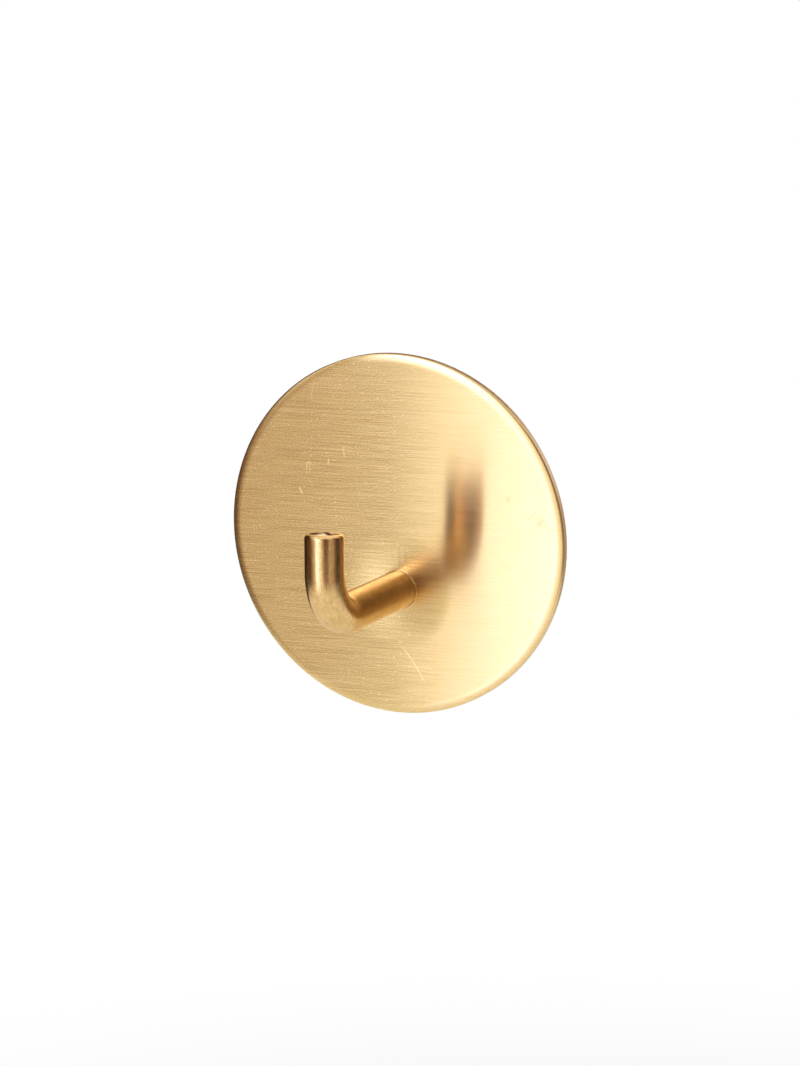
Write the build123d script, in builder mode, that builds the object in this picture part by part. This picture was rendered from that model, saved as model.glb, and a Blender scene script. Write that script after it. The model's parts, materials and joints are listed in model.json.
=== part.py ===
from build123d import *
import os
from math import cos, radians, sin, tan

# Self-adhesive wall hook
# A bent round pin is riveted into a brushed round plate, and a foam tape pad behind the plate holds it to the wall.
# Millimetres. The origin is the middle of the tape's wall side, +Y goes into the wall and +Z is up.

# Plate
plate_diameter = 56.0
plate_thickness = 1.5
rim_roll_width = 1.3  # width of the band at the rim where blanking has rolled the face back
rim_roll_angle = 14.0  # slope that the face reaches at the outside of that band
rim_edge_radius = 0.25  # rounding between the rolled band and the side wall
back_edge_break = 0.15

# Pin
rod_diameter = 6.0
pin_reach = 25.2  # from the plate's face to the rod's middle at the far side of the bend
pin_drop = 8.7  # how far the arm's middle lies below the plate's middle
bend_radius = 7.4  # to the rod's middle
bend_angle = 93.0  # a little past square, so that the upright leans in towards the wall
tip_height = 13.4  # from the arm's middle to the end of the upright
tip_rounding = 0.6
shoulder_break = 0.12  # fine bevel where the arm meets the plate

# Riveted joint
spigot_diameter = 4.0
rivet_head_diameter = 5.4
countersink_angle = 90.0
rivet_clearance = 0.05

# Foam tape pad
pad_inset = 2.0  # how far the pad's edge stays inside the plate's
pad_thickness = 1.1

# Sizes that follow from those above
plate_radius = plate_diameter / 2
plate_back = -pad_thickness
plate_face = plate_back - plate_thickness
rod_radius = rod_diameter / 2
spigot_radius = spigot_diameter / 2
rivet_head_radius = rivet_head_diameter / 2
half_countersink = radians(countersink_angle / 2)
rivet_head_depth = (rivet_head_radius - spigot_radius) / tan(half_countersink)
arm_length = pin_reach - bend_radius
bend_rise = bend_radius * (1 - cos(radians(bend_angle)))
upright_length = (tip_height - bend_rise) / sin(radians(bend_angle))
roll_radius = rim_roll_width / sin(radians(rim_roll_angle))
flat_radius = plate_radius - rim_roll_width - rim_edge_radius * (1 - sin(radians(rim_roll_angle)))

pin_axis = Axis((0, 0, -pin_drop), (0, 1, 0))

os.makedirs("parts", exist_ok=True)


# Back plate: a turned section gives the flat face, the rolled rim and the side wall
with BuildPart() as back_plate:
    with BuildSketch(Plane.XY):
        with BuildLine():
            face = Line((0, plate_face), (flat_radius, plate_face))
            roll = JernArc(face @ 1, face % 1, roll_radius, rim_roll_angle)
            edge = JernArc(roll @ 1, roll % 1, rim_edge_radius, 90 - rim_roll_angle)
            side = Line(edge @ 1, (plate_radius, plate_back))
            back = Line(side @ 1, (0, plate_back))
            Line(back @ 1, face @ 0)
        make_face()
    revolve(axis=Axis.Y)
    chamfer(back_plate.faces().sort_by(Axis.Y)[-1].edges(), back_edge_break)
    # The spigot's hole, opened to a cone at the back for the rivet head
    with Locations(Plane(origin=(0, plate_back, -pin_drop), x_dir=(1, 0, 0), z_dir=(0, 1, 0))):
        CounterSinkHole(
            radius=spigot_radius + rivet_clearance,
            counter_sink_radius=rivet_head_radius + rivet_clearance / cos(half_countersink),
            depth=plate_thickness,
            counter_sink_angle=countersink_angle,
        )


# Hook pin: the rod is swept along its arm, bend and upright
with BuildPart() as hook_pin:
    with BuildLine(Plane.YZ) as rod_line:
        arm = Line((plate_face, -pin_drop), (plate_face - arm_length, -pin_drop))
        bend = JernArc(arm @ 1, arm % 1, bend_radius, -bend_angle)
        PolarLine(bend @ 1, upright_length, direction=bend % 1)
    with BuildSketch(Plane(origin=rod_line.line @ 0, z_dir=rod_line.line % 0)):
        Circle(rod_radius)
    sweep(path=rod_line.line)
    fillet(hook_pin.faces().sort_by(Axis.Z)[-1].edges(), tip_rounding)
    chamfer(hook_pin.faces().sort_by(Axis.Y)[-1].edges(), shoulder_break)
    # The turned spigot, with its end riveted over into the countersink and flush with the plate's back
    with BuildSketch(Plane.XY.offset(-pin_drop)):
        with BuildLine():
            Polyline(
                (0, plate_face),
                (spigot_radius, plate_face),
                (spigot_radius, plate_back - rivet_head_depth),
                (rivet_head_radius, plate_back),
                (0, plate_back),
                close=True,
            )
        make_face()
    revolve(axis=pin_axis)


# Adhesive pad: one disc of double-sided foam tape
with BuildPart() as adhesive_pad:
    with BuildSketch(Plane.XZ):
        Circle(plate_radius - pad_inset)
    extrude(amount=pad_thickness)


pieces = {"back_plate": back_plate, "hook_pin": hook_pin, "adhesive_pad": adhesive_pad}
for name, piece in pieces.items():
    piece.part.label = name
    export_step(piece.part, f"parts/{name}.step")
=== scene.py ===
"""Looks of a self-adhesive wall hook: a brushed brass plate, a bent satin rod and a foam tape pad.

Metres. The origin is the middle of the tape's wall side, +Y goes into the wall and +Z is up.
"""

import json
import logging
import math
from dataclasses import dataclass, field, replace
from enum import Enum, IntEnum
from typing import Iterable, Sequence, Union

import bmesh
import bpy
from bpy.types import Material, Node, NodeSocket, NodeTree, Object
from mathutils import Matrix, Vector


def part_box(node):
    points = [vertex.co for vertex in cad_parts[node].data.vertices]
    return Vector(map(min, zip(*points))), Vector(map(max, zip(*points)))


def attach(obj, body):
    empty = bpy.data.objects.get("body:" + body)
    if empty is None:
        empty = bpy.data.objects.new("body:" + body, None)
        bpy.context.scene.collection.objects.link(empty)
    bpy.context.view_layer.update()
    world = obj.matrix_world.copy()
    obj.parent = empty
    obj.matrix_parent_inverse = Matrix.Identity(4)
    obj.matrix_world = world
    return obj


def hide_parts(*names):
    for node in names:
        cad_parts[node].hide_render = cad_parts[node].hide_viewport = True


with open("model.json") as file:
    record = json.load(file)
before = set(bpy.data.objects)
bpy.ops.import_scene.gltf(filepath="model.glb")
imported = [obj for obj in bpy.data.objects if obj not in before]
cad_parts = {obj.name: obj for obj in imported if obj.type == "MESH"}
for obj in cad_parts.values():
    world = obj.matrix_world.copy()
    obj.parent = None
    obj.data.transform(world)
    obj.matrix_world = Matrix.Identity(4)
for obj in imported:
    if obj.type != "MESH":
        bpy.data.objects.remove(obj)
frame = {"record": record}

LOG = logging.getLogger("wall_hook")
MM = 0.001
BODY = "root"
GRAIN_MAP = "grain"
# How far riveting has drawn the sheet in round the pin
DRAW_DEPTH = 0.13 * MM
# How far red, green and blue follow a brighter or darker patch of metal
PALING = (1.0, 1.2, 1.6)
# Most of a soft noise lies between these two values
NOISE_LOW = 0.35
NOISE_HIGH = 0.65

Source = Union[NodeSocket, float, Sequence[float]]
Colour = tuple[float, float, float]
# A pattern, and how much of it goes in
Mark = tuple[NodeSocket, float]


# Node wiring


class Bench:
    """A node tree on the bench: adds nodes, feeds their inputs and hands back their outputs."""

    def __init__(self, tree: NodeTree) -> None:
        """Take up a tree to wire."""
        self.tree = tree

    def node(self, kind: str, feeds: dict[Union[str, int], Source], **settings: object) -> Node:
        """Add one node.

        Args:
            kind: The node's type name without its "ShaderNode" start.
            feeds: What goes into each input, by the input's name or number.
            settings: Plain attributes of the node.

        Returns:
            The new node.
        """
        made = self.tree.nodes.new("ShaderNode" + kind)
        for name, value in settings.items():
            setattr(made, name, value)
        for name, source in feeds.items():
            self.feed(made.inputs[name], source)
        return made

    def feed(self, socket: NodeSocket, source: Source) -> None:
        """Link an output to a socket, or write a plain value on it.

        Args:
            socket: The input to feed.
            source: An output socket, a number or a row of numbers.
        """
        if isinstance(source, NodeSocket):
            self.tree.links.new(source, socket)
        else:
            socket.default_value = source

    def maths(self, operation: str, *sources: Source, clamp: bool = False) -> NodeSocket:
        """Work on numbers, as in maths("MULTIPLY", a, b)."""
        made = self.node("Math", dict(enumerate(sources)), operation=operation, use_clamp=clamp)
        return made.outputs[0]

    def vectors(self, operation: str, *sources: Source) -> NodeSocket:
        """Work on vectors, and hand back the vector or, for a length or a dot product, the number."""
        made = self.node("VectorMath", dict(enumerate(sources)), operation=operation)
        return made.outputs["Value" if operation in ("LENGTH", "DOT_PRODUCT") else "Vector"]

    def scaled(self, vector: Source, factor: Source) -> NodeSocket:
        """Make a vector longer or shorter by a factor."""
        return self.node("VectorMath", {0: vector, "Scale": factor}, operation="SCALE").outputs["Vector"]

    def ramp(self, value: Source, start: Source, end: Source, low: Source = 0.0, high: Source = 1.0,
             smooth: bool = True) -> NodeSocket:
        """Carry a value from one range to another, held at both ends.

        Args:
            value: What is carried over.
            start: The value that becomes low.
            end: The value that becomes high.
            low: What comes out at the start.
            high: What comes out at the end.
            smooth: Ease in and out at the ends.

        Returns:
            The carried value.
        """
        feeds = {"Value": value, "From Min": start, "From Max": end, "To Min": low, "To Max": high}
        steps = "SMOOTHSTEP" if smooth else "LINEAR"
        return self.node("MapRange", feeds, interpolation_type=steps, clamp=True).outputs["Result"]

    def weigh(self, start: Source, marks: Iterable[Mark]) -> NodeSocket:
        """Add several patterns up, each times its share.

        Args:
            start: What the sum starts from.
            marks: Each pattern with how much of it goes in.

        Returns:
            The sum.
        """
        total = start
        for pattern, share in marks:
            total = self.maths("MULTIPLY_ADD", pattern, share, total)
        return total

    def swing(self, marks: Sequence[Mark]) -> NodeSocket:
        """Make a factor that swings about 1 with several noises, each of which runs from 0 to 1."""
        return self.weigh(1.0 - 0.5 * sum(share for _, share in marks), marks)

    def blend(self, share: Source, first: Source, second: Source, way: str = "MIX") -> NodeSocket:
        """Mix two colours by a share.

        Args:
            share: How much of the second colour comes in.
            first: The colour at share 0.
            second: The colour at share 1.
            way: The kind of mix.

        Returns:
            The mixed colour.
        """
        made = self.node("Mix", {}, data_type="RGBA", blend_type=way, clamp_factor=True)
        colours = [socket for socket in made.inputs if socket.type == "RGBA"]
        self.feed(made.inputs["Factor"], share)
        self.feed(colours[0], first)
        self.feed(colours[1], second)
        return next(socket for socket in made.outputs if socket.type == "RGBA")

    def tinted(self, colour: Colour, tone: Source) -> NodeSocket:
        """Brighten and darken a colour by a factor about 1, paler where bright and richer where dark."""
        swing = self.scaled(PALING, self.maths("SUBTRACT", tone, 1.0))
        return self.vectors("MAXIMUM", self.vectors("MULTIPLY_ADD", swing, colour, colour), (0.0, 0.0, 0.0))

    def noise(self, place: Source, size: Source, detail: float = 2.0, roughness: float = 0.5,
              flat: bool = False) -> NodeSocket:
        """Sample soft noise, from 0 to 1.

        Args:
            place: Where it is sampled.
            size: The size of its cells.
            detail: How many finer layers it has.
            roughness: How strong those layers are.
            flat: Sample it over two axes only.

        Returns:
            The noise's value.
        """
        scale = self.maths("DIVIDE", 1.0, size)
        feeds = {"Vector": place, "Scale": scale, "Detail": detail, "Roughness": roughness}
        return self.node("TexNoise", feeds, noise_dimensions="2D" if flat else "3D").outputs[0]

    def spot(self) -> NodeSocket:
        """Give the place on the piece, in metres."""
        return self.node("TexCoord", {}).outputs["Object"]

    def sheet(self) -> NodeSocket:
        """Give the place across and up the plate, without its depth."""
        parts = self.node("SeparateXYZ", {0: self.spot()})
        return self.node("CombineXYZ", {0: parts.outputs[0], 1: parts.outputs[2], 2: 0.0}).outputs[0]

    def place(self, group: NodeTree, feeds: dict[str, Source]) -> list[NodeSocket]:
        """Set a shared effect into this tree, feed it by name and hand back its outputs in order."""
        return list(self.node("Group", feeds, node_tree=group).outputs)


class Effects:
    """The surface effects that several finishes share, each built once as a node group."""

    def __init__(self) -> None:
        """Build every effect."""
        self.grain = self._grain()
        self.scratch = self._scratch()
        self.specks = self._specks()
        self.wear = self._wear()

    @staticmethod
    def _open(name: str, places: Iterable[str], numbers: Iterable[str], gives: Iterable[str]) -> tuple[
            NodeTree, Bench, dict[str, NodeSocket], dict[str, NodeSocket]]:
        """Start a node group.

        Args:
            name: The group's name.
            places: The names of the inputs that are vectors.
            numbers: The names of the inputs that are numbers.
            gives: The outputs' names; all are numbers.

        Returns:
            The group, its bench, what comes in by name and what goes out by name.
        """
        group = bpy.data.node_groups.new(name, "ShaderNodeTree")
        for label in places:
            group.interface.new_socket(label, in_out="INPUT", socket_type="NodeSocketVector")
        for label in numbers:
            group.interface.new_socket(label, in_out="INPUT", socket_type="NodeSocketFloat")
        for label in gives:
            group.interface.new_socket(label, in_out="OUTPUT", socket_type="NodeSocketFloat")
        taken = group.nodes.new("NodeGroupInput").outputs
        given = group.nodes.new("NodeGroupOutput").inputs
        return group, Bench(group), dict(taken.items()), dict(given.items())

    def _grain(self) -> NodeTree:
        """Make brushed grain along a place's first axis.

        Returns:
            The group, which gives lines, short hairs, bands, strokes and speckle.
        """
        # How many cells of each layer go into one line, along it and across it
        layers = {"Lines": (0.7, 1.0), "Hairs": (1.9, 1.4), "Bands": (0.4, 0.12), "Strokes": (1.2, 0.9)}
        # Each layer is sampled somewhere else, so that no two share a pattern
        apart_along = 7.3
        apart_across = 3.1
        group, bench, taken, given = self._open(
            "Brushed Grain", ["Place"], ["Line Width", "Line Length", "Speckle Size"], [*layers, "Speckle"])
        step = bench.node("CombineXYZ", {0: taken["Line Length"], 1: taken["Line Width"], 2: 1.0})
        along = bench.vectors("DIVIDE", taken["Place"], step.outputs[0])
        for name, (lengthwise, crosswise) in layers.items():
            shift = (apart_along * lengthwise, apart_across * crosswise, 0.0)
            layer = bench.vectors("MULTIPLY_ADD", along, (lengthwise, crosswise, 1.0), shift)
            bench.feed(given[name], bench.noise(layer, 1.0, roughness=0.6, flat=True))
        speckle = bench.noise(taken["Place"], taken["Speckle Size"], detail=1.0, flat=True)
        bench.feed(given["Speckle"], speckle)
        return group

    def _scratch(self) -> NodeTree:
        """Make one scratch from a start to an end.

        Returns:
            The group, which gives 1 on the scratch's line and fades out at its sides and ends.
        """
        # The shares of the width at which the mark starts to fade and is gone
        side_start = 0.2
        side_end = 0.8
        # What is left of the mark at its very ends, and how far up its arch the ramp added to it runs
        end_level = 0.4
        end_reach = 0.4
        group, bench, taken, given = self._open(
            "Scratch", ["Place", "Start", "End"], ["Width", "Sag"], ["Mark"])
        run = bench.vectors("SUBTRACT", taken["End"], taken["Start"])
        gone = bench.vectors("SUBTRACT", taken["Place"], taken["Start"])
        length = bench.vectors("DOT_PRODUCT", run, run)
        share = bench.maths("DIVIDE", bench.vectors("DOT_PRODUCT", gone, run), length)
        held = bench.maths("ADD", share, 0.0, clamp=True)
        off = bench.vectors("SUBTRACT", gone, bench.scaled(run, held))
        arch = bench.maths("MULTIPLY", bench.maths("MULTIPLY", held, bench.maths("SUBTRACT", 1.0, held)), 4.0)
        side = bench.vectors("NORMALIZE", bench.vectors("CROSS_PRODUCT", run, (0, 0, 1)))
        bow = bench.scaled(side, bench.maths("MULTIPLY", arch, taken["Sag"]))
        away = bench.vectors("LENGTH", bench.vectors("SUBTRACT", off, bow))
        line = bench.ramp(bench.maths("DIVIDE", away, taken["Width"]), side_start, side_end, 1.0, 0.0)
        ends = bench.maths("ADD", end_level, bench.ramp(arch, 0.0, end_reach), clamp=True)
        bench.feed(given["Mark"], bench.maths("MULTIPLY", line, ends))
        return group

    def _specks(self) -> NodeTree:
        """Make scattered small specks.

        Returns:
            The group, which gives 1 on a speck. Only a share of the cells has one.
        """
        group, bench, taken, given = self._open("Specks", ["Place"], ["Spacing", "Radius", "Share"], ["Mark"])
        feeds = {"Vector": taken["Place"], "Scale": bench.maths("DIVIDE", 1.0, taken["Spacing"])}
        cells = bench.node("TexVoronoi", feeds, voronoi_dimensions="2D").outputs
        chance = bench.node("SeparateXYZ", {0: cells["Color"]}).outputs[0]
        kept = bench.maths("LESS_THAN", chance, taken["Share"])
        half = bench.maths("MULTIPLY", taken["Radius"], 0.5)
        dot = bench.ramp(cells["Distance"], half, taken["Radius"], 1.0, 0.0)
        bench.feed(given["Mark"], bench.maths("MULTIPLY", dot, kept))
        return group

    def _wear(self) -> NodeTree:
        """Make wear along an edge.

        Returns:
            The group, which gives 1 at the edge and ends raggedly.
        """
        # The least and the most of its width that the wear reaches
        least = 0.2
        most = 1.5
        group, bench, taken, given = self._open(
            "Edge Wear", ["Place"], ["Distance", "Width", "Patch Size"], ["Mark"])
        patches = bench.noise(taken["Place"], taken["Patch Size"], detail=3.0, roughness=0.6)
        share = bench.ramp(patches, NOISE_LOW, NOISE_HIGH, least, most)
        reach = bench.maths("MULTIPLY", taken["Width"], share)
        bench.feed(given["Mark"], bench.ramp(taken["Distance"], 0.0, reach, 1.0, 0.0))
        return group


# Marks on the metal


@dataclass(frozen=True)
class Scratch:
    """A mark on a flat face, by its ends' places across and up from the face's middle, in millimetres."""

    start: tuple[float, float]
    end: tuple[float, float]
    gain: float = 0.35
    width: float = 0.26
    sag: float = 0.0

    def mark(self, bench: Bench, effects: Effects, place: Source) -> Mark:
        """Draw the scratch on a finish.

        Args:
            bench: The finish's bench.
            effects: The shared effects.
            place: The place across and up the face.

        Returns:
            The scratch, with how much it brightens or darkens the metal.
        """
        placed = bench.place(effects.scratch, {
            "Place": place,
            "Start": (self.start[0] * MM, self.start[1] * MM, 0.0),
            "End": (self.end[0] * MM, self.end[1] * MM, 0.0),
            "Width": self.width * MM,
            "Sag": self.sag * MM,
        })
        return placed[0], self.gain


FACE_SCRATCHES = (
    # A hooked scratch left of the middle, and the short strokes round it
    Scratch((-14.9, 8.7), (-14.9, 10.3), gain=0.22),
    Scratch((-14.9, 10.3), (-14.1, 10.2), gain=0.35, sag=-0.3),
    Scratch((-14.45, 8.9), (-14.4, 10.1), gain=0.18, width=0.2),
    Scratch((-16.3, 6.5), (-15.9, 5.6), gain=0.5, width=0.3),
    Scratch((-14.5, 7.8), (-14.1, 6.9), gain=0.15),
    Scratch((-11.1, 11.2), (-11.2, 10.5), gain=0.4, width=0.26),
    Scratch((-8.6, 13.2), (-8.4, 11.6), gain=0.22),
    Scratch((-8.5, 13.2), (-7.2, 13.2), gain=0.2, width=0.2),
    Scratch((-13.3, 23.1), (-13.8, 20.3), gain=0.14),
    # A long one low down, and a faint one that crosses it
    Scratch((0.5, -17.6), (4.1, -22.8), gain=0.2, width=0.22, sag=-0.15),
    Scratch((-0.7, -20.5), (5.6, -20.7), gain=0.12, width=0.2),
    # A stain at the right with fine marks beside it
    Scratch((24.0, 3.4), (24.6, 3.0), gain=-0.15, width=1.5),
    Scratch((22.4, 3.8), (23.6, 5.4), gain=-0.1, sag=0.35),
    Scratch((25.1, 2.8), (26.1, 2.0), gain=-0.1),
    Scratch((18.9, 6.5), (19.2, 6.4), gain=-0.12, width=0.9),
    Scratch((22.0, -12.0), (22.8, -13.8), gain=-0.1),
    # Short upright strokes above the pin, from fitting it
    Scratch((-0.3, -2.3), (-0.2, -4.6), gain=0.08, width=0.2),
    Scratch((0.3, -1.9), (0.4, -4.9), gain=-0.08, width=0.2),
    Scratch((0.9, -1.8), (1.0, -4.6), gain=0.07, width=0.2),
    Scratch((1.4, -2.4), (1.5, -4.6), gain=-0.1, width=0.2),
    Scratch((1.9, -2.0), (2.0, -3.6), gain=0.07, width=0.2),
)
TIP_TEARS = (
    # Torn metal at the end's far left, a groove across it and a brown patch, by places from its middle
    Scratch((-1.95, -0.8), (-1.3, 0.9), gain=-0.95, width=1.9, sag=-0.2),
    Scratch((-0.7, 1.9), (1.3, -0.6), gain=-0.95, width=0.8),
    Scratch((1.2, 0.5), (1.9, 1.0), gain=-0.6, width=1.5),
)
TIP_BURNISH_AND_HIGHLIGHTS = (
    # Where the cutter has burnished the end; these pale patches are also painted highlights, the small one a
    # painted glint
    Scratch((-0.7, 0.6), (0.5, -1.4), gain=1.0, width=1.3),
    Scratch((1.4, 1.8), (1.8, 1.5), gain=0.8, width=0.8),
)


@dataclass(frozen=True)
class Specks:
    """Scattered specks: their spacing, their radius and number as shares of the cells, and their gain."""

    spacing: float
    radius: float
    share: float
    gain: float

    def mark(self, bench: Bench, effects: Effects, place: Source) -> Mark:
        """Scatter the specks over a finish."""
        feeds = {"Place": place, "Spacing": self.spacing, "Radius": self.radius, "Share": self.share}
        return bench.place(effects.specks, feeds)[0], self.gain


@dataclass(frozen=True)
class EdgeWear:
    """Wear along an edge: how far it reaches, the size of its ragged patches, and its gain."""

    width: float
    patch_size: float
    gain: float

    def mark(self, bench: Bench, effects: Effects, place: Source, distance: Source) -> Mark:
        """Wear an edge of a finish, by how far each place is from that edge."""
        feeds = {"Place": place, "Distance": distance, "Width": self.width, "Patch Size": self.patch_size}
        return bench.place(effects.wear, feeds)[0], self.gain


@dataclass(frozen=True)
class Brushing:
    """Brushed grain: how wide and how long its lines are, and how fine the speckle between them is."""

    line_width: float
    line_length: float
    speckle_size: float

    def layers(self, bench: Bench, effects: Effects, place: Source) -> list[NodeSocket]:
        """Brush a finish along a place's first axis.

        Args:
            bench: The finish's bench.
            effects: The shared effects.
            place: The place on the surface.

        Returns:
            The lines, short hairs, bands, strokes and speckle, each from 0 to 1.
        """
        feeds = {"Place": place, "Line Width": self.line_width, "Line Length": self.line_length,
                 "Speckle Size": self.speckle_size}
        return bench.place(effects.grain, feeds)


@dataclass(frozen=True)
class Relief:
    """How rough a finish is, and how far its pattern stands out."""

    roughness: float
    # The shares of the roughness at the pattern's low value and at its high one
    smooth: float
    rough: float
    strength: float
    depth: float
    low: float = 0.3
    high: float = 0.7

    def dress(self, bench: Bench, shader: Node, pattern: Source, height: Source) -> None:
        """Feed a shader's roughness and bump.

        Args:
            bench: The finish's bench.
            shader: Its shader.
            pattern: What varies the roughness.
            height: What varies the height.
        """
        smooth = self.roughness * self.smooth
        rough = self.roughness * self.rough
        bench.feed(shader.inputs["Roughness"], bench.ramp(pattern, self.low, self.high, smooth, rough))
        bump = bench.node("Bump", {"Strength": self.strength, "Distance": self.depth, "Height": height})
        bench.feed(shader.inputs["Normal"], bump.outputs[0])


# Finishes


def new_finish(name: str) -> tuple[Material, Bench, Node]:
    """Start a material.

    Args:
        name: The material's name.

    Returns:
        The material, its bench and its shader.
    """
    made = bpy.data.materials.new(name)
    made.use_nodes = True
    return made, Bench(made.node_tree), made.node_tree.nodes["Principled BSDF"]


def new_metal(name: str, anisotropy: float = 0.0,
              edge_tint: Colour = (1.0, 1.0, 1.0)) -> tuple[Material, Bench, Node]:
    """Start a bare metal material.

    Args:
        name: The material's name.
        anisotropy: How far the highlights draw out across the polishing.
        edge_tint: The metal's colour where it is seen at a low slant, next to its own.

    Returns:
        The material, its bench and its shader.
    """
    made, bench, shader = new_finish(name)
    shader.inputs["Metallic"].default_value = 1.0
    shader.inputs["Anisotropic"].default_value = anisotropy
    shader.inputs["Specular Tint"].default_value = (*edge_tint, 1.0)
    if anisotropy > 0.0:
        along = bench.node("Tangent", {}, direction_type="UV_MAP", uv_map=GRAIN_MAP)
        bench.feed(shader.inputs["Tangent"], along.outputs[0])
    return made, bench, shader


@dataclass(frozen=True)
class BrushedBrass:
    """Brass brushed in straight lines across the plate, with fine scratches, specks and a worn rim."""

    rim_radius: float
    colour: Colour = (0.78, 0.563, 0.252)
    edge_tint: Colour = (0.96, 0.93, 0.86)
    # Soft patches turn the colour a little one way or the other
    reddish: Colour = (1.005, 0.997, 0.98)
    greenish: Colour = (0.995, 1.0, 1.005)
    patch_size: float = 2.4 * MM
    anisotropy: float = 1.0
    brushing: Brushing = Brushing(line_width=0.09 * MM, line_length=14.0 * MM, speckle_size=0.16 * MM)
    # The brushing fades out from the first place across the plate to the second
    fade_start: float = -4.0 * MM
    fade_end: float = 10.0 * MM
    strong: float = 1.5
    weak: float = 0.35
    # How much each layer of the brushing varies the metal
    line_share: float = 0.38
    hair_share: float = 0.42
    band_share: float = 0.08
    speckle_share: float = 0.65
    # Only the strongest strokes show
    stroke_start: float = 0.62
    stroke_end: float = 0.78
    stroke_gain: float = -0.16
    # How deep each layer of the brushing is
    line_depth: float = 0.5
    hair_depth: float = 0.35
    speckle_depth: float = 0.3
    specks: Specks = Specks(spacing=1.3 * MM, radius=0.11, share=0.3, gain=0.25)
    wear: EdgeWear = EdgeWear(width=0.5 * MM, patch_size=1.5 * MM, gain=0.08)
    relief: Relief = Relief(roughness=0.16, smooth=0.94, rough=1.08, strength=0.4, depth=0.004 * MM)
    scratches: tuple[Scratch, ...] = FACE_SCRATCHES

    def material(self, effects: Effects) -> Material:
        """Make the finish for a surface whose grain map runs across the brushing first.

        Args:
            effects: The shared effects.

        Returns:
            The material.
        """
        made, bench, shader = new_metal("Brushed Brass", self.anisotropy, self.edge_tint)
        sheet = bench.sheet()
        across = bench.node("SeparateXYZ", {0: sheet}).outputs[0]
        lines, hairs, bands, strokes, speckle = self.brushing.layers(bench, effects, sheet)
        even = bench.swing([(lines, self.line_share), (hairs, self.hair_share), (bands, self.band_share),
                            (speckle, self.speckle_share)])
        dark = bench.ramp(strokes, self.stroke_start, self.stroke_end)
        specks = self.specks.mark(bench, effects, sheet)
        grained = bench.weigh(-1.0, [(even, 1.0), (dark, self.stroke_gain), specks])
        vigour = bench.ramp(across, self.fade_start, self.fade_end, self.strong, self.weak)
        inward = bench.maths("SUBTRACT", self.rim_radius, bench.vectors("LENGTH", sheet))
        wear = self.wear.mark(bench, effects, sheet, inward)
        scratches = [scratch.mark(bench, effects, sheet) for scratch in self.scratches]
        tone = bench.weigh(1.0, [(bench.maths("MULTIPLY", grained, vigour), 1.0), wear, *scratches])
        drift = bench.noise(sheet, self.patch_size, detail=1.0, flat=True)
        patches = bench.ramp(drift, NOISE_LOW, NOISE_HIGH)
        hue = bench.blend(patches, (*self.reddish, 1.0), (*self.greenish, 1.0))
        base = bench.blend(1.0, bench.tinted(self.colour, tone), hue, "MULTIPLY")
        bench.feed(shader.inputs["Base Color"], base)
        depth = bench.weigh(0.0, [(lines, self.line_depth), (hairs, self.hair_depth),
                                  (speckle, self.speckle_depth)])
        self.relief.dress(bench, shader, hairs, depth)
        return made


@dataclass(frozen=True)
class DullBrass:
    """Unbrushed brass: the plate's sheared side wall, or its back as it came from the rolling mill."""

    title: str
    colour: Colour
    patch_size: float = 0.7 * MM
    patch_share: float = 0.7
    specks: Specks = Specks(spacing=1.6 * MM, radius=0.12, share=0.4, gain=-0.2)
    relief: Relief = Relief(roughness=0.34, smooth=0.85, rough=1.2, strength=0.3, depth=0.02 * MM)

    def material(self, effects: Effects) -> Material:
        """Make the finish.

        Args:
            effects: The shared effects.

        Returns:
            The material.
        """
        made, bench, shader = new_metal(self.title)
        mottle = bench.noise(bench.spot(), self.patch_size, detail=3.0)
        specks = self.specks.mark(bench, effects, bench.sheet())
        tone = bench.weigh(bench.swing([(mottle, self.patch_share)]), [specks])
        bench.feed(shader.inputs["Base Color"], bench.tinted(self.colour, tone))
        self.relief.dress(bench, shader, mottle, mottle)
        return made


SHEARED_BRASS = DullBrass("Sheared Brass", (0.68, 0.48, 0.25))
MILL_BRASS = DullBrass("Mill Brass", (0.62, 0.46, 0.26), patch_size=2.5 * MM,
                       relief=replace(SHEARED_BRASS.relief, roughness=0.3))


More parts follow.
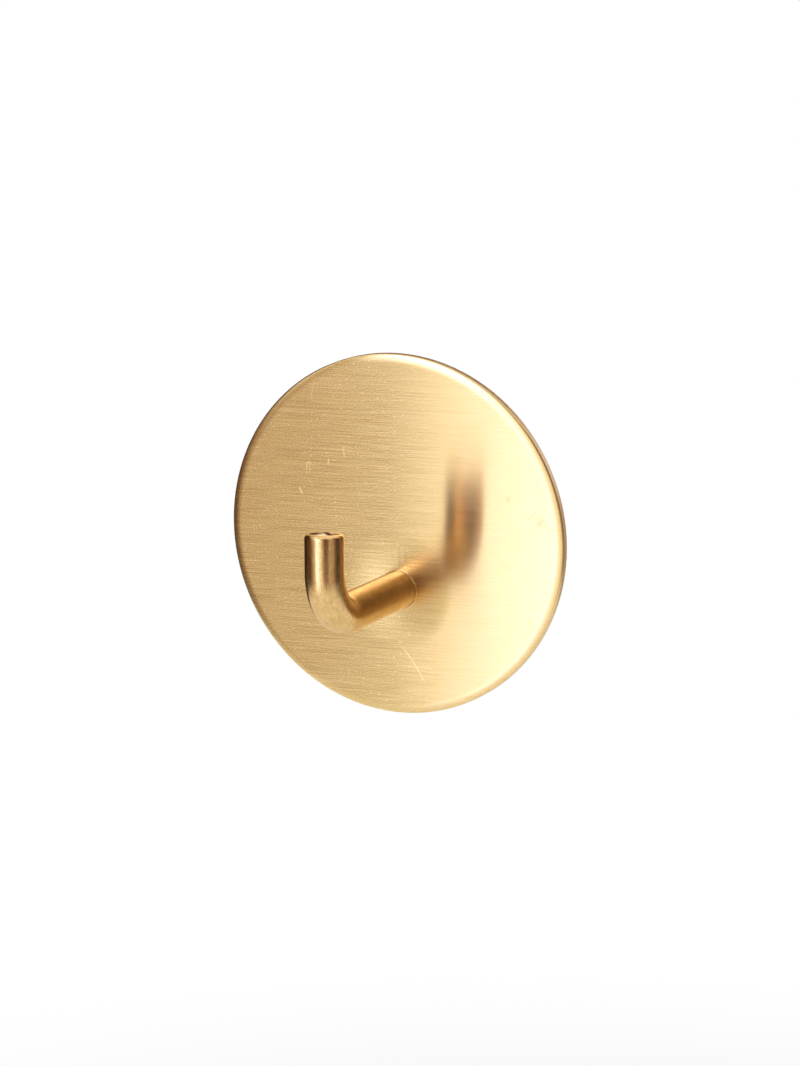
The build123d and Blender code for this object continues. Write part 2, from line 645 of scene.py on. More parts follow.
@dataclass(frozen=True)
class SatinBrass:
    """Brass rod with a fine satin polish drawn along it, and a lightly worn tip."""

    tip_height: float
    colour: Colour = (0.765, 0.508, 0.214)
    edge_tint: Colour = (0.96, 0.91, 0.8)
    anisotropy: float = 0.8
    brushing: Brushing = Brushing(line_width=0.2 * MM, line_length=1.2 * MM, speckle_size=0.16 * MM)
    patch_size: float = 0.8 * MM
    # How much each pattern varies the metal
    line_share: float = 0.35
    hair_share: float = 0.2
    speckle_share: float = 0.3
    patch_share: float = 0.35
    # Only the strongest strokes show
    stroke_start: float = 0.68
    stroke_end: float = 0.8
    stroke_gain: float = -0.06
    # How deep each pattern is
    line_depth: float = 0.3
    speckle_depth: float = 0.2
    patch_depth: float = 0.8
    specks: Specks = Specks(spacing=1.1 * MM, radius=0.1, share=0.3, gain=-0.2)
    wear: EdgeWear = EdgeWear(width=0.5 * MM, patch_size=0.8 * MM, gain=0.12)
    relief: Relief = Relief(roughness=0.24, smooth=0.9, rough=1.1, strength=0.3, depth=0.005 * MM)

    def material(self, effects: Effects) -> Material:
        """Make the finish for a surface whose grain map runs along the rod first.

        Args:
            effects: The shared effects.

        Returns:
            The material.
        """
        made, bench, shader = new_metal("Satin Brass", self.anisotropy, self.edge_tint)
        spot = bench.spot()
        unrolled = bench.node("UVMap", {}, uv_map=GRAIN_MAP).outputs[0]
        lines, hairs, bands, strokes, speckle = self.brushing.layers(bench, effects, unrolled)
        mottle = bench.noise(spot, self.patch_size)
        brushed = bench.swing([(lines, self.line_share), (hairs, self.hair_share),
                               (speckle, self.speckle_share), (mottle, self.patch_share)])
        height = bench.node("SeparateXYZ", {0: spot}).outputs[2]
        below = bench.maths("SUBTRACT", self.tip_height, height)
        wear = self.wear.mark(bench, effects, spot, below)
        specks = self.specks.mark(bench, effects, unrolled)
        dark = bench.ramp(strokes, self.stroke_start, self.stroke_end)
        tone = bench.weigh(brushed, [wear, specks, (dark, self.stroke_gain)])
        bench.feed(shader.inputs["Base Color"], bench.tinted(self.colour, tone))
        depth = bench.weigh(0.0, [(lines, self.line_depth), (speckle, self.speckle_depth),
                                  (mottle, self.patch_depth)])
        self.relief.dress(bench, shader, bands, depth)
        return made


@dataclass(frozen=True)
class ShearedEnd:
    """The rod's end, cropped off and left partly torn and partly burnished; the burnished patches are painted
    pale as highlights.
    """

    middle: float
    colour: Colour = (0.78, 0.54, 0.27)
    # The pale colour of the burnished patches, which paints their highlights
    bright: Colour = (1.0, 0.96, 0.84)
    oil: Colour = (0.1, 0.05, 0.02)
    brushing: Brushing = Brushing(line_width=0.5 * MM, line_length=1.6 * MM, speckle_size=0.2 * MM)
    slant: float = math.radians(-45.0)
    # How much each layer of the tearing varies the metal
    line_share: float = 0.6
    hair_share: float = 0.4
    speckle_share: float = 0.3
    # Streaks dull the burnished patches and their painted highlights to the share below
    streak_start: float = 0.3
    streak_end: float = 0.6
    streak_level: float = 0.6
    relief: Relief = Relief(roughness=0.3, smooth=0.8, rough=1.3, strength=0.6, depth=0.08 * MM)
    tears: tuple[Scratch, ...] = TIP_TEARS
    burnish_and_highlights: tuple[Scratch, ...] = TIP_BURNISH_AND_HIGHLIGHTS

    def material(self, effects: Effects) -> Material:
        """Make the finish.

        Args:
            effects: The shared effects.

        Returns:
            The material.
        """
        made, bench, shader = new_metal("Sheared End")
        centred = bench.vectors("SUBTRACT", bench.spot(), (0.0, self.middle, 0.0))
        end = bench.vectors("MULTIPLY", centred, (1.0, 1.0, 0.0))
        turned = bench.node("VectorRotate", {"Vector": end, "Angle": self.slant}, rotation_type="Z_AXIS")
        lines, hairs, _, _, speckle = self.brushing.layers(bench, effects, turned.outputs[0])
        uneven = bench.swing([(lines, self.line_share), (hairs, self.hair_share),
                              (speckle, self.speckle_share)])
        torn = bench.weigh(0.0, [tear.mark(bench, effects, end) for tear in self.tears])
        # Torn metal is full of dark oil, so it doesn't shine
        bare = bench.maths("ADD", 1.0, torn, clamp=True)
        shader.inputs["Specular IOR Level"].default_value = 0.0
        bench.feed(shader.inputs["Metallic"], bare)
        # The burnished patches, painted pale as highlights and a glint
        shine = bench.weigh(0.0, [patch.mark(bench, effects, end) for patch in self.burnish_and_highlights])
        streaks = bench.ramp(lines, self.streak_start, self.streak_end, self.streak_level, 1.0)
        # How far the end is painted pale as highlights where it is burnished
        worn = bench.maths("MULTIPLY", shine, bench.maths("MULTIPLY", bare, streaks), clamp=True)
        metal = bench.tinted(self.colour, bench.maths("ADD", uneven, torn))
        metal_with_highlights = bench.blend(worn, metal, (*self.bright, 1.0))
        bench.feed(shader.inputs["Base Color"], bench.blend(bare, (*self.oil, 1.0), metal_with_highlights))
        self.relief.dress(bench, shader, hairs, bench.maths("ADD", lines, torn))
        return made


@dataclass(frozen=True)
class FoamTape:
    """Closed-cell foam, seen on the pad's edge."""

    colour: Colour = (0.66, 0.66, 0.64)
    patch_size: float = 2.5 * MM
    patch_share: float = 0.25
    cell_size: float = 0.22 * MM
    # The cells' walls lie this far out from their middles, and are darker
    wall_start: float = 0.4
    wall_end: float = 0.9
    wall_shade: float = 0.25
    relief: Relief = Relief(roughness=0.62, smooth=1.0, rough=1.3, strength=0.6, depth=0.06 * MM,
                            low=0.0, high=0.6)

    def material(self) -> Material:
        """Make the finish.

        Returns:
            The material.
        """
        made, bench, shader = new_finish("Foam Tape")
        spot = bench.spot()
        cells = bench.node("TexVoronoi", {"Vector": spot, "Scale": 1.0 / self.cell_size}).outputs["Distance"]
        mottle = bench.noise(spot, self.patch_size)
        walls = bench.ramp(cells, self.wall_start, self.wall_end, 0.0, self.wall_shade)
        tone = bench.maths("SUBTRACT", bench.swing([(mottle, self.patch_share)]), walls)
        bench.feed(shader.inputs["Base Color"], bench.tinted(self.colour, tone))
        self.relief.dress(bench, shader, cells, cells)
        return made


@dataclass(frozen=True)
class StickyFilm:
    """The adhesive film on the pad's faces: smooth and a little glossy, with faint ripples and dust."""

    colour: Colour = (0.74, 0.74, 0.71)
    ripple_size: float = 3.0 * MM
    ripple_share: float = 0.2
    dust: Specks = Specks(spacing=1.4 * MM, radius=0.07, share=0.35, gain=-0.15)
    dust_height: float = 0.2
    relief: Relief = Relief(roughness=0.3, smooth=0.8, rough=1.4, strength=0.5, depth=0.06 * MM)

    def material(self, effects: Effects) -> Material:
        """Make the finish.

        Args:
            effects: The shared effects.

        Returns:
            The material.
        """
        made, bench, shader = new_finish("Sticky Film")
        ripples = bench.noise(bench.spot(), self.ripple_size, detail=3.0, roughness=0.6)
        dust, shade = self.dust.mark(bench, effects, bench.sheet())
        tone = bench.weigh(bench.swing([(ripples, self.ripple_share)]), [(dust, shade)])
        bench.feed(shader.inputs["Base Color"], bench.tinted(self.colour, tone))
        height = bench.weigh(ripples, [(dust, self.dust_height)])
        self.relief.dress(bench, shader, ripples, height)
        return made


# Lofted meshes


class GrainMap(Enum):
    """How a mesh's grain map is laid out."""

    ACROSS_BRUSHING = "up the plate first, then across it"
    ALONG_ROD = "along the rod first, then round it"


@dataclass(frozen=True)
class Hoop:
    """One circle of a lofted surface, square to a heading in the plane x = 0."""

    y: float
    z: float
    radius: float
    heading: float = 0.0
    # The number of the finish on what follows it
    finish: int = 0
    crease: bool = False

    def points(self, count: int) -> list[Vector]:
        """Give the circle's points, from +X round.

        Args:
            count: How many points.

        Returns:
            The points, in order.
        """
        out = []
        for step in range(count):
            turn = 2 * math.pi * step / count
            up = self.radius * math.sin(turn)
            out.append(Vector((self.radius * math.cos(turn),
                               self.y - up * math.sin(self.heading),
                               self.z + up * math.cos(self.heading))))
        return out

    def onward(self, travel: float, radius: float, finish: int = 0, crease: bool = False) -> "Hoop":
        """Give another circle further along the heading.

        Args:
            travel: How far along.
            radius: The new circle's radius.
            finish: The finish of what follows it.
            crease: Whether it is a sharp edge.

        Returns:
            The new circle.
        """
        y = self.y + math.cos(self.heading) * travel
        z = self.z + math.sin(self.heading) * travel
        return Hoop(y, z, radius, self.heading, finish, crease)


def put(name: str, data: bpy.types.ID) -> Object:
    """Put an object into the scene.

    Args:
        name: The object's name.
        data: Its mesh, camera or light.

    Returns:
        The object.
    """
    made = bpy.data.objects.new(name, data)
    bpy.context.scene.collection.objects.link(made)
    return made


def put_mesh(name: str, mesh: bmesh.types.BMesh, finishes: Iterable[Material]) -> Object:
    """Put a finished mesh into the scene.

    Args:
        name: The object's name.
        mesh: The mesh, which is used up.
        finishes: Its materials, in order.

    Returns:
        The object.
    """
    data = bpy.data.meshes.new(name)
    mesh.to_mesh(data)
    mesh.free()
    for finish in finishes:
        data.materials.append(finish)
    return put(name, data)


@dataclass
class Skin:
    """A row of hoops skinned into one mesh, closed into a ring or with a flat cap at each end."""

    hoops: Sequence[Hoop]
    count: int
    closed: bool
    layout: GrainMap
    mesh: bmesh.types.BMesh = field(init=False)

    def build(self, name: str, finishes: Sequence[Material]) -> Object:
        """Skin the hoops.

        Args:
            name: The piece's name.
            finishes: The materials, by the hoops' numbers.

        Returns:
            The new piece, in the scene.
        """
        self.mesh = bmesh.new()
        grain = self.mesh.loops.layers.uv.new(GRAIN_MAP)
        rings = [[self.mesh.verts.new(point) for point in hoop.points(self.count)] for hoop in self.hoops]
        self._lay_bands(rings, grain)
        if not self.closed:
            self._cap(self.hoops[0], rings[0])
            self._cap(self.hoops[-1], rings[-1])
        self._crease(rings)
        if self.layout is GrainMap.ACROSS_BRUSHING:
            for face in self.mesh.faces:
                for corner in face.loops:
                    corner[grain].uv = (corner.vert.co.z, corner.vert.co.x)
        bmesh.ops.recalc_face_normals(self.mesh, faces=self.mesh.faces)
        return put_mesh(name, self.mesh, finishes)

    def _lay_bands(self, rings: list[list[bmesh.types.BMVert]], grain: bmesh.types.BMLayerItem) -> None:
        """Lay the bands of faces between the hoops, and map them along and round.

        Args:
            rings: The hoops' corners.
            grain: The grain map's layer.
        """
        travel = [0.0]
        for before, after in zip(self.hoops, self.hoops[1:]):
            step = math.hypot(after.y - before.y, after.z - before.z) + abs(after.radius - before.radius)
            travel.append(travel[-1] + step)
        bands = len(rings) if self.closed else len(rings) - 1
        pitch = 2 * math.pi * max(hoop.radius for hoop in self.hoops) / self.count
        for index in range(bands):
            following = (index + 1) % len(rings)
            near = travel[index]
            far = travel[following]
            for step in range(self.count):
                side = (step + 1) % self.count
                face = self.mesh.faces.new((rings[index][step], rings[index][side], rings[following][side],
                                            rings[following][step]))
                face.material_index = self.hoops[index].finish
                face.smooth = True
                left = step * pitch
                right = (step + 1) * pitch
                places = ((near, left), (near, right), (far, right), (far, left))
                for corner, place in zip(face.loops, places):
                    corner[grain].uv = place

    def _cap(self, hoop: Hoop, ring: list[bmesh.types.BMVert]) -> None:
        """Close one end with a flat face.

        Args:
            hoop: The hoop at that end.
            ring: Its corners.
        """
        face = self.mesh.faces.new(ring)
        face.material_index = hoop.finish
        face.smooth = True

    def _crease(self, rings: list[list[bmesh.types.BMVert]]) -> None:
        """Make the creased hoops' edges sharp.

        Args:
            rings: The hoops' corners.
        """
        for hoop, ring in zip(self.hoops, rings):
            if not hoop.crease:
                continue
            for step in range(self.count):
                self.mesh.edges.get((ring[step], ring[(step + 1) % self.count])).smooth = False


def arc(centre: tuple[float, float], radius: float, start: float, end: float,
        steps: int) -> list[tuple[float, float]]:
    """Cut an arc from start to end, in radians, into runs, and give their ends in order."""
    turns = [start + (end - start) * step / steps for step in range(steps + 1)]
    return [(centre[0] + radius * math.cos(turn), centre[1] + radius * math.sin(turn)) for turn in turns]


def settle(piece: Object, node: str) -> Object:
    """Make a piece stand for a node of the frame, on the hook's one body.

    Args:
        piece: The piece.
        node: The node that it replaces.

    Returns:
        The same piece.
    """
    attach(piece, BODY)
    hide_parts(node)
    return piece


# The hook's own pieces


class PinSide(IntEnum):
    """The pin's finishes, by their numbers on its mesh."""

    ROD = 0
    END = 1


@dataclass
class HookPin:
    """The bent rod: arm, bend, leaning upright with a cropped end, and the riveted spigot behind."""

    bend_radius: float = 7.4 * MM
    tip_rounding: float = 0.6 * MM
    shoulder_break: float = 0.12 * MM
    spigot_radius: float = 2.0 * MM
    rivet_radius: float = 2.7 * MM
    seat_depth: float = DRAW_DEPTH
    bend_steps: int = 40
    tip_steps: int = 8
    points: int = 144
    # Where hoops lie, as shares of the arm, of the upright, and of the end's and the rivet head's radius
    arm_shares: tuple[float, ...] = (0.02, 0.25, 0.5, 0.75)
    upright_shares: tuple[float, ...] = (0.33, 0.66, 1.0)
    end_shares: tuple[float, ...] = (1.0, 0.97, 0.5, 0.05)
    head_share: float = 0.98
    low: Vector = field(init=False)
    high: Vector = field(init=False)
    radius: float = field(init=False)
    lean: float = field(init=False)
    tip: tuple[float, float] = field(init=False)

    def __post_init__(self) -> None:
        """Take the rod's place from the frame: its box, and the line and end of its upright."""
        self.low, self.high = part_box("hook_pin")
        self.radius = self.high.x
        peg = next(mount for mount in frame["record"]["mounts"] if mount["name"] == "peg")
        self.lean = math.atan2(peg["axis"][1], peg["axis"][2])
        half = peg["dims"]["length_mm"] * MM / 2
        end = Vector(peg["pos_m"]) + Vector(peg["axis"]) * (half + self.tip_rounding)
        self.tip = (end.y, end.z)

    @property
    def arm_height(self) -> float:
        """The height of the arm's middle."""
        return self.low.z + self.radius

    def route(self) -> list[Hoop]:
        """List the hoops from the rivet head through the plate, along the arm and up to the tip.

        Returns:
            The hoops of the open loft.
        """
        back = self.high.y
        to_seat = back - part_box("back_plate")[0].y - self.seat_depth
        head = self.rivet_radius - self.spigot_radius
        start = Hoop(back, self.arm_height, self.rivet_radius, math.pi, crease=True)
        hoops = [
            start.onward(0.0, self.rivet_radius * self.head_share),
            start,
            start.onward(head, self.spigot_radius, crease=True),
            start.onward(to_seat, self.spigot_radius, crease=True),
            start.onward(to_seat, self.radius - self.shoulder_break, crease=True),
            start.onward(to_seat + self.shoulder_break, self.radius, crease=True),
        ]
        middle = (self.low.y + self.radius + self.bend_radius, self.arm_height + self.bend_radius)
        shoulder = hoops[-1]
        arm = shoulder.y - middle[0]
        hoops.extend(shoulder.onward(arm * share, self.radius) for share in self.arm_shares)
        turn = math.pi / 2 + self.lean
        bend = arc(middle, self.bend_radius, -math.pi / 2, -math.pi / 2 - turn, self.bend_steps)
        for step, (y, z) in enumerate(bend):
            hoops.append(Hoop(y, z, self.radius, math.pi - turn * step / self.bend_steps))
        foot = hoops[-1]
        reach = math.hypot(self.tip[0] - foot.y, self.tip[1] - foot.z) - self.tip_rounding
        hoops.extend(foot.onward(reach * share, self.radius) for share in self.upright_shares)
        neck = hoops[-1]
        inner = (self.radius - self.tip_rounding, 0.0)
        rounding = arc(inner, self.tip_rounding, 0.0, math.pi / 2, self.tip_steps)
        hoops.extend(neck.onward(along, radius) for radius, along in rounding[1:])
        top = hoops.pop()
        hoops.extend(top.onward(0.0, top.radius * share, PinSide.END) for share in self.end_shares)
        return hoops

    def build(self, effects: Effects) -> Object:
        """Build and dress the rod.

        Args:
            effects: The shared effects.

        Returns:
            The piece.
        """
        finishes = [SatinBrass(self.tip[1]).material(effects), ShearedEnd(self.tip[0]).material(effects)]
        piece = Skin(self.route(), self.points, False, GrainMap.ALONG_ROD).build("rod", finishes)
        return settle(piece, "hook_pin")


class PlateSide(IntEnum):
    """The plate's finishes, by their numbers on its mesh."""

    FACE = 0
    WALL = 1
    BACK = 2


@dataclass
class BackPlate:
    """The round plate: a brushed face drawn in round the pin, a rolled rim, a side wall and a sunk hole."""

    pin_height: float
    roll_width: float = 1.3 * MM
    roll_angle: float = math.radians(14.0)
    edge_radius: float = 0.25 * MM
    back_break: float = 0.15 * MM
    hole_radius: float = 2.05 * MM
    sink_radius: float = 2.77 * MM
    seat_radius: float = 3.01 * MM
    lip_radius: float = 0.055 * MM
    # Where the face starts outside the lip, in the lip's radii from its inside
    lip_reach: float = 2.1
    draw_radius: float = 9.0 * MM
    draw_depth: float = DRAW_DEPTH
    draw_curve: float = 1.5
    lip_steps: int = 6
    draw_steps: int = 10
    roll_steps: int = 10
    edge_steps: int = 8
    points: int = 288
    # A hoop this close to a sharp edge keeps the shading beside it flat
    guard: float = 0.05 * MM
    # Where hoops lie, as shares of the way over the flat face and over the back
    face_shares: tuple[float, ...] = (0.02, 0.25, 0.5, 0.75, 0.985, 1.0)
    back_shares: tuple[float, ...] = (0.01, 0.3, 0.7, 0.99)
    low: Vector = field(init=False)
    high: Vector = field(init=False)

    def __post_init__(self) -> None:
        """Take the plate's place from the frame."""
        self.low, self.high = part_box("back_plate")

    def front(self) -> list[Hoop]:
        """List the hoops from the hole's mouth out over the drawn-in seat and the flat face.

        Returns:
            The hoops, up to the edge of the flat face.
        """
        face = self.low.y
        flat = self.high.x - self.roll_width - self.edge_radius * (1 - math.sin(self.roll_angle))
        seat = face + self.draw_depth
        hoops = [Hoop(seat, self.pin_height, self.hole_radius, crease=True),
                 Hoop(seat, self.pin_height, self.seat_radius)]
        # A fine lip of metal stands up round the pin where riveting has squeezed it out
        middle = (self.seat_radius + self.lip_radius, seat)
        lip = arc(middle, self.lip_radius, -math.pi, 0.0, self.lip_steps)
        hoops.extend(Hoop(y, self.pin_height, radius) for radius, y in lip)
        inner = self.seat_radius + self.lip_reach * self.lip_radius
        hoops.append(Hoop(seat, self.pin_height, inner))
        for step in range(1, self.draw_steps + 1):
            share = step / self.draw_steps
            depth = self.draw_depth * (1 - share) ** self.draw_curve
            hoops.append(Hoop(face + depth, self.pin_height, inner + (self.draw_radius - inner) * share))
        for share in self.face_shares:
            radius = self.draw_radius + (flat - self.draw_radius) * share
            hoops.append(Hoop(face, self.pin_height * (1 - share), radius))
        return hoops

    def rim(self, flat: Hoop) -> list[Hoop]:
        """List the hoops over the rolled rim, round its edge and down the side wall.

        Args:
            flat: The edge of the flat face.

        Returns:
            The hoops, up to the back.
        """
        quarter = math.pi / 2
        turn = self.roll_angle - quarter
        bow = self.roll_width / math.sin(self.roll_angle)
        roll = arc((flat.radius, flat.y + bow), bow, -quarter, turn, self.roll_steps)
        hoops = [Hoop(y, 0.0, radius) for radius, y in roll[1:]]
        last = hoops[-1]
        middle = (last.radius - self.edge_radius * math.cos(turn), last.y - self.edge_radius * math.sin(turn))
        corner = arc(middle, self.edge_radius, turn, 0.0, self.edge_steps)
        hoops.extend(Hoop(y, 0.0, radius) for radius, y in corner[1:])
        edge = hoops.pop()
        side = self.high.y - self.back_break
        hoops.extend([
            Hoop(edge.y, 0.0, self.high.x, finish=PlateSide.WALL),
            Hoop(side - self.guard, 0.0, self.high.x, finish=PlateSide.WALL),
            Hoop(side, 0.0, self.high.x, finish=PlateSide.WALL, crease=True),
            Hoop(self.high.y, 0.0, self.high.x - self.back_break, finish=PlateSide.BACK, crease=True),
        ])
        return hoops

    def back(self) -> list[Hoop]:
        """List the hoops from the back's edge in to the countersink.

        Returns:
            The hoops, up to the hole.
        """
        outer = self.high.x - self.back_break
        hoops = []
        for share in self.back_shares:
            radius = outer + (self.sink_radius - outer) * share
            hoops.append(Hoop(self.high.y, self.pin_height * share, radius, finish=PlateSide.BACK))
        sink = self.sink_radius - self.hole_radius
        for y, radius in ((self.high.y, self.sink_radius), (self.high.y - sink, self.hole_radius)):
            hoops.append(Hoop(y, self.pin_height, radius, finish=PlateSide.BACK, crease=True))
        return hoops

    def build(self, effects: Effects) -> Object:
        """Build and dress the plate.

        Args:
            effects: The shared effects.

        Returns:
            The piece.
        """
        hoops = self.front()
        hoops += self.rim(hoops[-1])
        hoops += self.back()
        brasses = (BrushedBrass(self.high.x), SHEARED_BRASS, MILL_BRASS)
        finishes = [brass.material(effects) for brass in brasses]
        piece = Skin(hoops, self.points, True, GrainMap.ACROSS_BRUSHING).build("plate", finishes)
        return settle(piece, "back_plate")


class PadSide(IntEnum):
    """The pad's finishes, by their numbers on its mesh."""

    FOAM = 0
    FILM = 1


@dataclass
class AdhesivePad:
    """The disc of foam tape behind the plate, with a film on each side of its foam."""

    film: float = 0.09 * MM
    pinch: float = 0.06 * MM
    points: int = 192
    # Where hoops lie, as shares of a face's radius and of the foam's depth
    face_shares: tuple[float, ...] = (0.3, 0.97)
    foam_shares: tuple[float, ...] = (0.1, 0.3, 0.5, 0.7, 0.9)

    def build(self, effects: Effects) -> Object:
        """Build and dress the pad.

        Args:
            effects: The shared effects.

        Returns:
            The piece.
        """
        low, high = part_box("adhesive_pad")
        radius = high.x
        depth = high.y - low.y - 2 * self.film
        hoops = [Hoop(low.y, 0.0, radius * share, finish=PadSide.FILM) for share in self.face_shares]
        hoops.append(Hoop(low.y, 0.0, radius, finish=PadSide.FILM, crease=True))
        hoops.append(Hoop(low.y + self.film, 0.0, radius, finish=PadSide.FOAM, crease=True))
        for share in self.foam_shares:
            inset = self.pinch * math.sin(math.pi * share)
            hoops.append(Hoop(low.y + self.film + depth * share, 0.0, radius - inset, finish=PadSide.FOAM))
        hoops.append(Hoop(high.y - self.film, 0.0, radius, finish=PadSide.FILM, crease=True))
        hoops.append(Hoop(high.y, 0.0, radius, finish=PadSide.FILM, crease=True))
        for share in reversed(self.face_shares):
            hoops.append(Hoop(high.y, 0.0, radius * share, finish=PadSide.FILM))
        finishes = [FoamTape().material(), StickyFilm().material(effects)]
        piece = Skin(hoops, self.points, False, GrainMap.ACROSS_BRUSHING).build("tape_pad", finishes)
        return settle(piece, "adhesive_pad")


# Studio


def bearing(azimuth: float, elevation: float) -> Vector:
    """Point so far round from straight ahead and so far up, both in radians."""
    flat = math.cos(elevation)
    return Vector((math.sin(azimuth) * flat, -math.cos(azimuth) * flat, math.sin(elevation)))


def eased(share: float) -> float:
    """Ease a share in and out, held between 0 and 1."""
    held = min(max(share, 0.0), 1.0)
    return held * held * (3 - 2 * held)


def empty_bench(owner: Union[Material, bpy.types.World]) -> Bench:
    """Give a material or the world an empty node tree.

    Args:
        owner: The material or the world.

    Returns:
        The tree's bench.
    """
    owner.use_nodes = True
    owner.node_tree.nodes.clear()
    return Bench(owner.node_tree)


@dataclass
class Viewpoint:
    """The camera, at the photograph's angle."""

    azimuth: float = math.radians(25.62)
    elevation: float = math.radians(10.94)
    roll: float = math.radians(-1.69)
    distance: float = 1.036
    lens: float = 228.4
    aside: float = 0.583 * MM
    above: float = 0.235 * MM
    nearest: float = 0.01
    farthest: float = 20.0

    def build(self, target: Vector) -> Object:
        """Make the camera.

        Args:
            target: The middle of the plate's face.

        Returns:
            The camera.
        """
        back = bearing(self.azimuth, self.elevation)
        level = Vector((math.cos(self.azimuth), math.sin(self.azimuth), 0.0))
        right = level * math.cos(self.roll) + back.cross(level) * math.sin(self.roll)
        up = back.cross(right)
        data = bpy.data.cameras.new("camera")
        data.lens = self.lens
        data.clip_start = self.nearest
        data.clip_end = self.farthest
        camera = put("camera", data)
        place = target + back * self.distance + right * self.aside + up * self.above
        turn = Matrix((right, up, back)).transposed().to_4x4()
        camera.matrix_world = Matrix.Translation(place) @ turn
        bpy.context.scene.camera = camera
        return camera


@dataclass(frozen=True)
class Screen:
    """A bent screen round the hook that only reflections see: a softbox among grey and dark cards."""

    distance: float = 0.27
    columns: int = 360
    rows: int = 66
    bottom: float = -78.0
    top: float = 52.0
    fade: float = 18.0
    # The softbox's edges lean outwards above eye level
    lean: float = 0.45
    lean_start: float = 5.0
    lean_width: float = 30.0
    open_level: float = 1.0
    under_level: float = 1.4
    under_start: float = -52.0
    softbox_level: float = 2.2
    softbox_colour: Colour = (0.95, 1.0, 1.5)
    card_level: float = 0.9
    card_colour: Colour = (1.14, 0.58, 0.36)
    # Degrees round from straight ahead, and how bright the screen is there at eye level
    levels: tuple[tuple[float, float], ...] = (
        (-180.0, 0.35), (-150.0, 0.25), (-130.0, 0.04), (-110.0, 0.025), (-80.0, 0.08), (-64.0, 0.08),
        (-49.0, 0.15), (-40.0, 0.42), (-34.0, 0.63), (-30.5, 0.66), (-28.0, 0.69), (-25.4, 0.8),
        (-24.4, 0.94), (-23.7, 1.24), (-22.5, 1.43), (-20.3, 1.75), (-18.0, 2.1), (-14.0, 2.15),
        (-8.0, 1.85), (0.0, 1.4), (14.0, 0.7), (26.0, 0.26), (38.0, 0.27), (50.0, 0.6), (75.0, 0.42),
        (88.0, 0.09), (103.0, 0.03), (125.0, 0.1), (136.0, 0.35), (143.0, 0.85), (151.0, 0.85),
        (157.0, 0.3), (170.0, 0.15), (180.0, 0.35),
    )
    # Where that changes with height: degrees round, half width, degrees up at its start and end, and gain
    patches: tuple[tuple[float, float, float, float, float], ...] = (
        (-95.0, 30.0, -21.0, -31.0, 7.0), (-51.0, 10.0, 0.0, 8.0, 1.7), (-51.0, 12.0, -21.0, -31.0, 1.5),
        (-17.0, 14.0, 6.0, 13.0, 0.6), (-17.0, 14.0, -21.0, -29.0, 0.6), (2.0, 14.0, -20.0, -28.0, 0.9),
        (33.0, 14.0, -8.0, 4.0, -0.7), (154.0, 20.0, 0.0, 8.0, 0.9), (-30.0, 16.0, -19.0, -33.0, 0.3),
        (-19.0, 7.0, -9.0, -18.0, 0.2), (-29.0, 8.0, -9.0, -18.0, 0.1),
    )

    def level(self, azimuth: float, elevation: float) -> float:
        """Tell how bright the screen is in one direction.

        Args:
            azimuth: Degrees round from straight ahead.
            elevation: Degrees above the horizon.

        Returns:
            The brightness, where 1 is the white of the surround.
        """
        above = max(elevation - self.lean_start, 0.0)
        # The lean is whole within its width and gone at twice that
        slid = azimuth + self.lean * above * eased(2.0 - abs(azimuth) / self.lean_width)
        across = self.levels[0][1]
        for (start, first), (end, second) in zip(self.levels, self.levels[1:]):
            if start <= slid <= end:
                across = first + (second - first) * (slid - start) / (end - start)
        for place, width, start, end, gain in self.patches:
            # A patch is half gone at its half width
            share = eased((elevation - start) / (end - start)) * eased(1.5 - abs(azimuth - place) / width)
            across *= 1.0 + gain * share
        inside = eased(min(elevation - self.under_start, self.top - elevation) / self.fade)
        beyond = self.open_level if elevation > 0.0 else self.under_level
        return beyond + (across - beyond) * inside

    def shade(self, azimuth: float, elevation: float) -> tuple[float, float, float, float]:
        """Tell the screen's colour in one direction: the softbox is cool and the dark cards are warm.

        Args:
            azimuth: Degrees round from straight ahead.
            elevation: Degrees above the horizon.

        Returns:
            The colour, with brightness in it.
        """
        level = self.level(azimuth, elevation)
        cool = eased((level - self.open_level) / (self.softbox_level - self.open_level))
        warm = 1.0 - min(level / self.card_level, 1.0)
        red, green, blue = (level * (1.0 + (card - 1.0) * warm) * (1.0 + (box - 1.0) * cool)
                            for card, box in zip(self.card_colour, self.softbox_colour))
        return red, green, blue, 1.0

    def build(self) -> Object:
        """Make the screen.

        Returns:
            The screen.
        """
        mesh = bmesh.new()
        glow = mesh.verts.layers.float_color.new("glow")
        grid = []
        for row in range(self.rows + 1):
            elevation = self.bottom + (self.top - self.bottom) * row / self.rows
            line = []
            for column in range(self.columns):
                azimuth = -180.0 + 360.0 * column / self.columns
                away = bearing(math.radians(azimuth), math.radians(elevation))
                corner = mesh.verts.new(away * self.distance)
                corner[glow] = self.shade(azimuth, elevation)
                line.append(corner)
            grid.append(line)
        for below, above in zip(grid, grid[1:]):
            for column in range(self.columns):
                side = (column + 1) % self.columns
                mesh.faces.new((below[column], below[side], above[side], above[column]))
        screen = put_mesh("screen", mesh, [self.finish()])
        screen.visible_camera = False
        screen.visible_diffuse = False
        screen.visible_shadow = False
        screen.visible_transmission = False
        return screen

    @staticmethod
    def finish() -> Material:
        """Make the screen's own light.

        Returns:
            The material.
        """
        made = bpy.data.materials.new("Screen")
        bench = empty_bench(made)
        made.cycles.emission_sampling = "NONE"
        shade = bench.node("Attribute", {}, attribute_name="glow").outputs["Color"]
        light = bench.node("Emission", {"Color": shade, "Strength": 1.0})
        bench.node("OutputMaterial", {"Surface": light.outputs[0]})
        return made


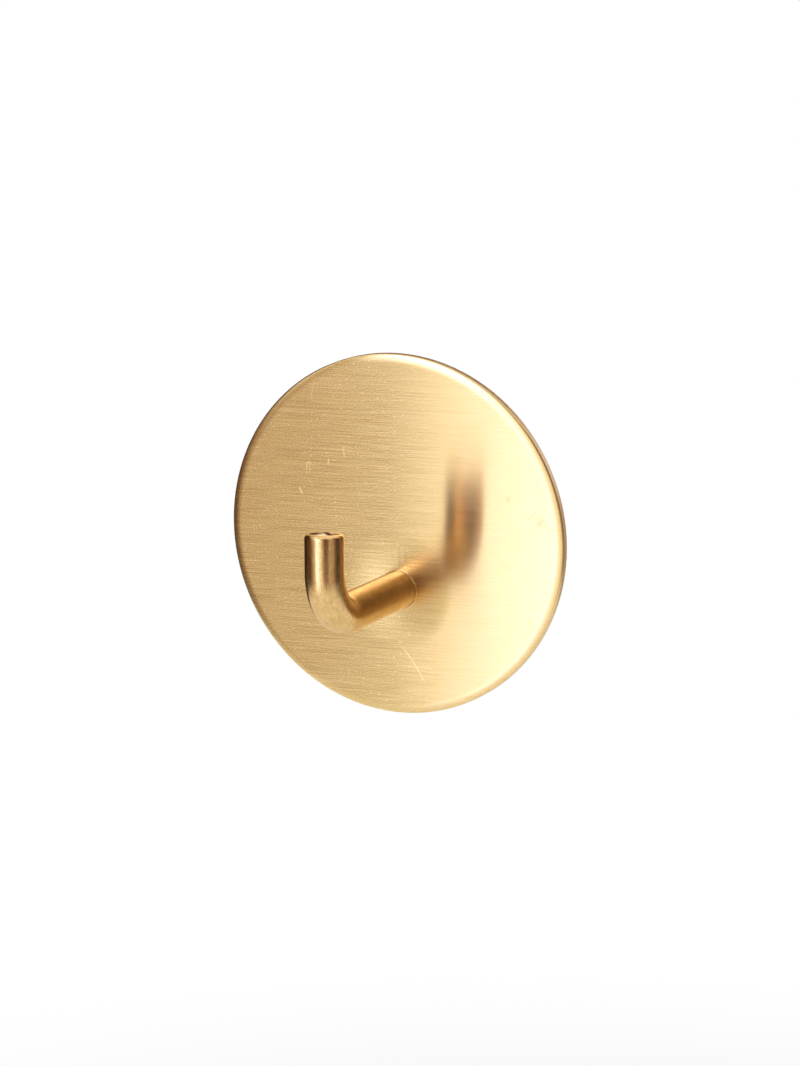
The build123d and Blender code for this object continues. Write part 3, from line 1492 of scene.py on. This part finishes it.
@dataclass
class Studio:
    """A pale floor, a white surround, and the screen and lamp round the hook."""

    floor_depth: float = 0.11
    floor_radius: float = 1.5
    floor_sides: int = 96
    floor_white: float = 0.9
    # The floor's shading gives way to the surround's white between these distances
    shaded_radius: float = 0.05
    white_radius: float = 0.16
    white_near: float = 0.5
    surround_diffuse: float = 0.75
    lamp_place: tuple[float, float, float] = (-0.35, -0.55, 0.65)
    lamp_size: float = 0.5
    lamp_level: float = 4.0
    screen: Screen = Screen()

    @staticmethod
    def seen(bench: Bench) -> NodeSocket:
        """Tell the rays that see the surround's white from all others.

        Args:
            bench: The tree to wire it in.

        Returns:
            1 for camera, glossy and transmission rays, and 0 for the others.
        """
        path = bench.node("LightPath", {})
        seen = bench.maths("ADD", path.outputs["Is Camera Ray"], path.outputs["Is Glossy Ray"])
        return bench.maths("ADD", seen, path.outputs["Is Transmission Ray"], clamp=True)

    def build_surround(self) -> None:
        """Light the world: white to the camera and to reflections, softer to matt surfaces."""
        world = bpy.data.worlds.new("surround")
        bpy.context.scene.world = world
        bench = empty_bench(world)
        strength = bench.ramp(self.seen(bench), 0.0, 1.0, self.surround_diffuse, 1.0, smooth=False)
        glow = bench.node("Background", {"Color": (1.0, 1.0, 1.0, 1.0), "Strength": strength})
        bench.node("OutputWorld", {"Surface": glow.outputs[0]})

    def build_floor(self) -> Object:
        """Lay the floor: matt white under the hook, fading to the surround's white further out.

        Returns:
            The floor.
        """
        finish = bpy.data.materials.new("Pale Floor")
        bench = empty_bench(finish)
        away = bench.vectors("LENGTH", bench.spot())
        fade = bench.ramp(away, self.shaded_radius, self.white_radius, self.white_near, 1.0)
        share = bench.maths("MULTIPLY", self.seen(bench), fade)
        white = self.floor_white
        matt = bench.node("BsdfDiffuse", {"Color": (white, white, white, 1.0)})
        glow = bench.node("Emission", {"Color": (1.0, 1.0, 1.0, 1.0), "Strength": 1.0})
        both = bench.node("MixShader", {0: share, 1: matt.outputs[0], 2: glow.outputs[0]})
        bench.node("OutputMaterial", {"Surface": both.outputs[0]})
        mesh = bmesh.new()
        bmesh.ops.create_circle(mesh, cap_ends=True, segments=self.floor_sides, radius=self.floor_radius)
        floor = put_mesh("floor", mesh, [finish])
        floor.location = (0.0, 0.0, -self.floor_depth)
        return floor

    def build_lamp(self) -> Object:
        """Hang a wide soft lamp above the hook, in front and to the left.

        Returns:
            The lamp.
        """
        data = bpy.data.lights.new("soft_lamp", "AREA")
        data.shape = "SQUARE"
        data.size = self.lamp_size
        data.energy = self.lamp_level * math.pi * self.lamp_size ** 2
        lamp = put("soft_lamp", data)
        lamp.location = self.lamp_place
        lamp.rotation_euler = (-Vector(self.lamp_place)).to_track_quat("-Z", "Y").to_euler()
        lamp.visible_camera = False
        lamp.visible_glossy = False
        return lamp

    def build(self) -> None:
        """Set up the whole studio."""
        bpy.context.scene.view_settings.view_transform = "Standard"
        self.build_surround()
        self.build_floor()
        self.build_lamp()
        self.screen.build()


def note(piece: Object) -> None:
    """Report a piece: its name and how many faces its mesh has."""
    LOG.info("%s: %d faces", piece.name, len(piece.data.polygons))


def main() -> None:
    """Build the hook's pieces in order, then the camera and the studio."""
    logging.basicConfig(level=logging.INFO, format="%(name)s: %(message)s")
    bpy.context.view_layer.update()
    effects = Effects()
    pin = HookPin()
    plate = BackPlate(pin.arm_height)
    for maker in (plate, pin, AdhesivePad()):
        note(maker.build(effects))
    Viewpoint().build(Vector((0.0, plate.low.y, 0.0)))
    Studio().build()
    bpy.context.view_layer.update()


if __name__ == "__main__":
    main()
